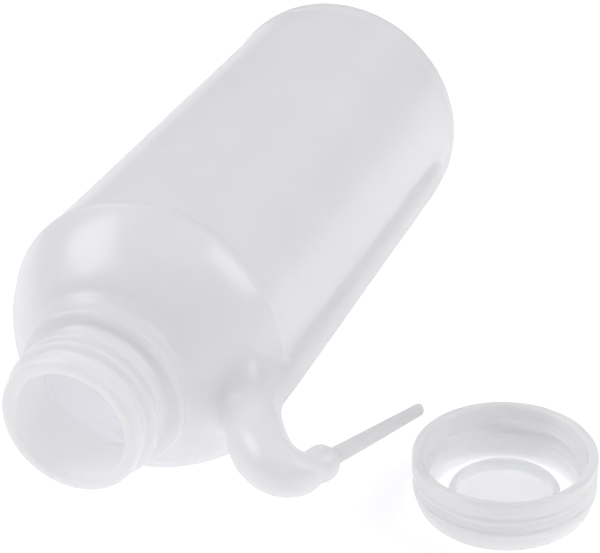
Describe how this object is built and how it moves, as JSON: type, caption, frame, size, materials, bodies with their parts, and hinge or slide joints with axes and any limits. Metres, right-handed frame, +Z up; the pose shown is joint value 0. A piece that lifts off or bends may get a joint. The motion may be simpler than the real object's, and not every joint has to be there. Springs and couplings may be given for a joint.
{
  "type": "ear wax cleaner",
  "caption": "Translucent squeeze bottle lying on its side, with a riser tube, swan-neck arm and thin nozzle for rinsing ears, and its loose screw cap beside it.",
  "frame": {"origin": "on the table, at the centre of the footprint of the lying bottle and its cap", "axes": "+Z up, +Y along the bottle's axis from the mouth to the base, +X towards the arm and the cap"},
  "size_m": [0.1426, 0.175, 0.0706],
  "materials": {
    "bottle": "satin translucent polyethylene, blown wall",
    "neck": "satin translucent polyethylene, thick neck",
    "nozzle": "satin milky polyethylene",
    "cap": "satin translucent polyethylene, moulded"
  },
  "bodies": {
    "bottle": {"bottle_base": "bottle", "bottle_wall": "bottle", "bottle_shoulder": "bottle", "bottle_neck": "neck", "side_tube": "bottle", "spout_arm": "bottle", "nozzle": "nozzle"},
    "cap": {"screw_cap": "cap"}
  },
  "joints": [
    {"name": "cap_lift", "type": "slide", "parent": "bottle", "child": "cap", "axis": [0.6, 0, 0.8], "range_m": [0, 0.09]}
  ]
}
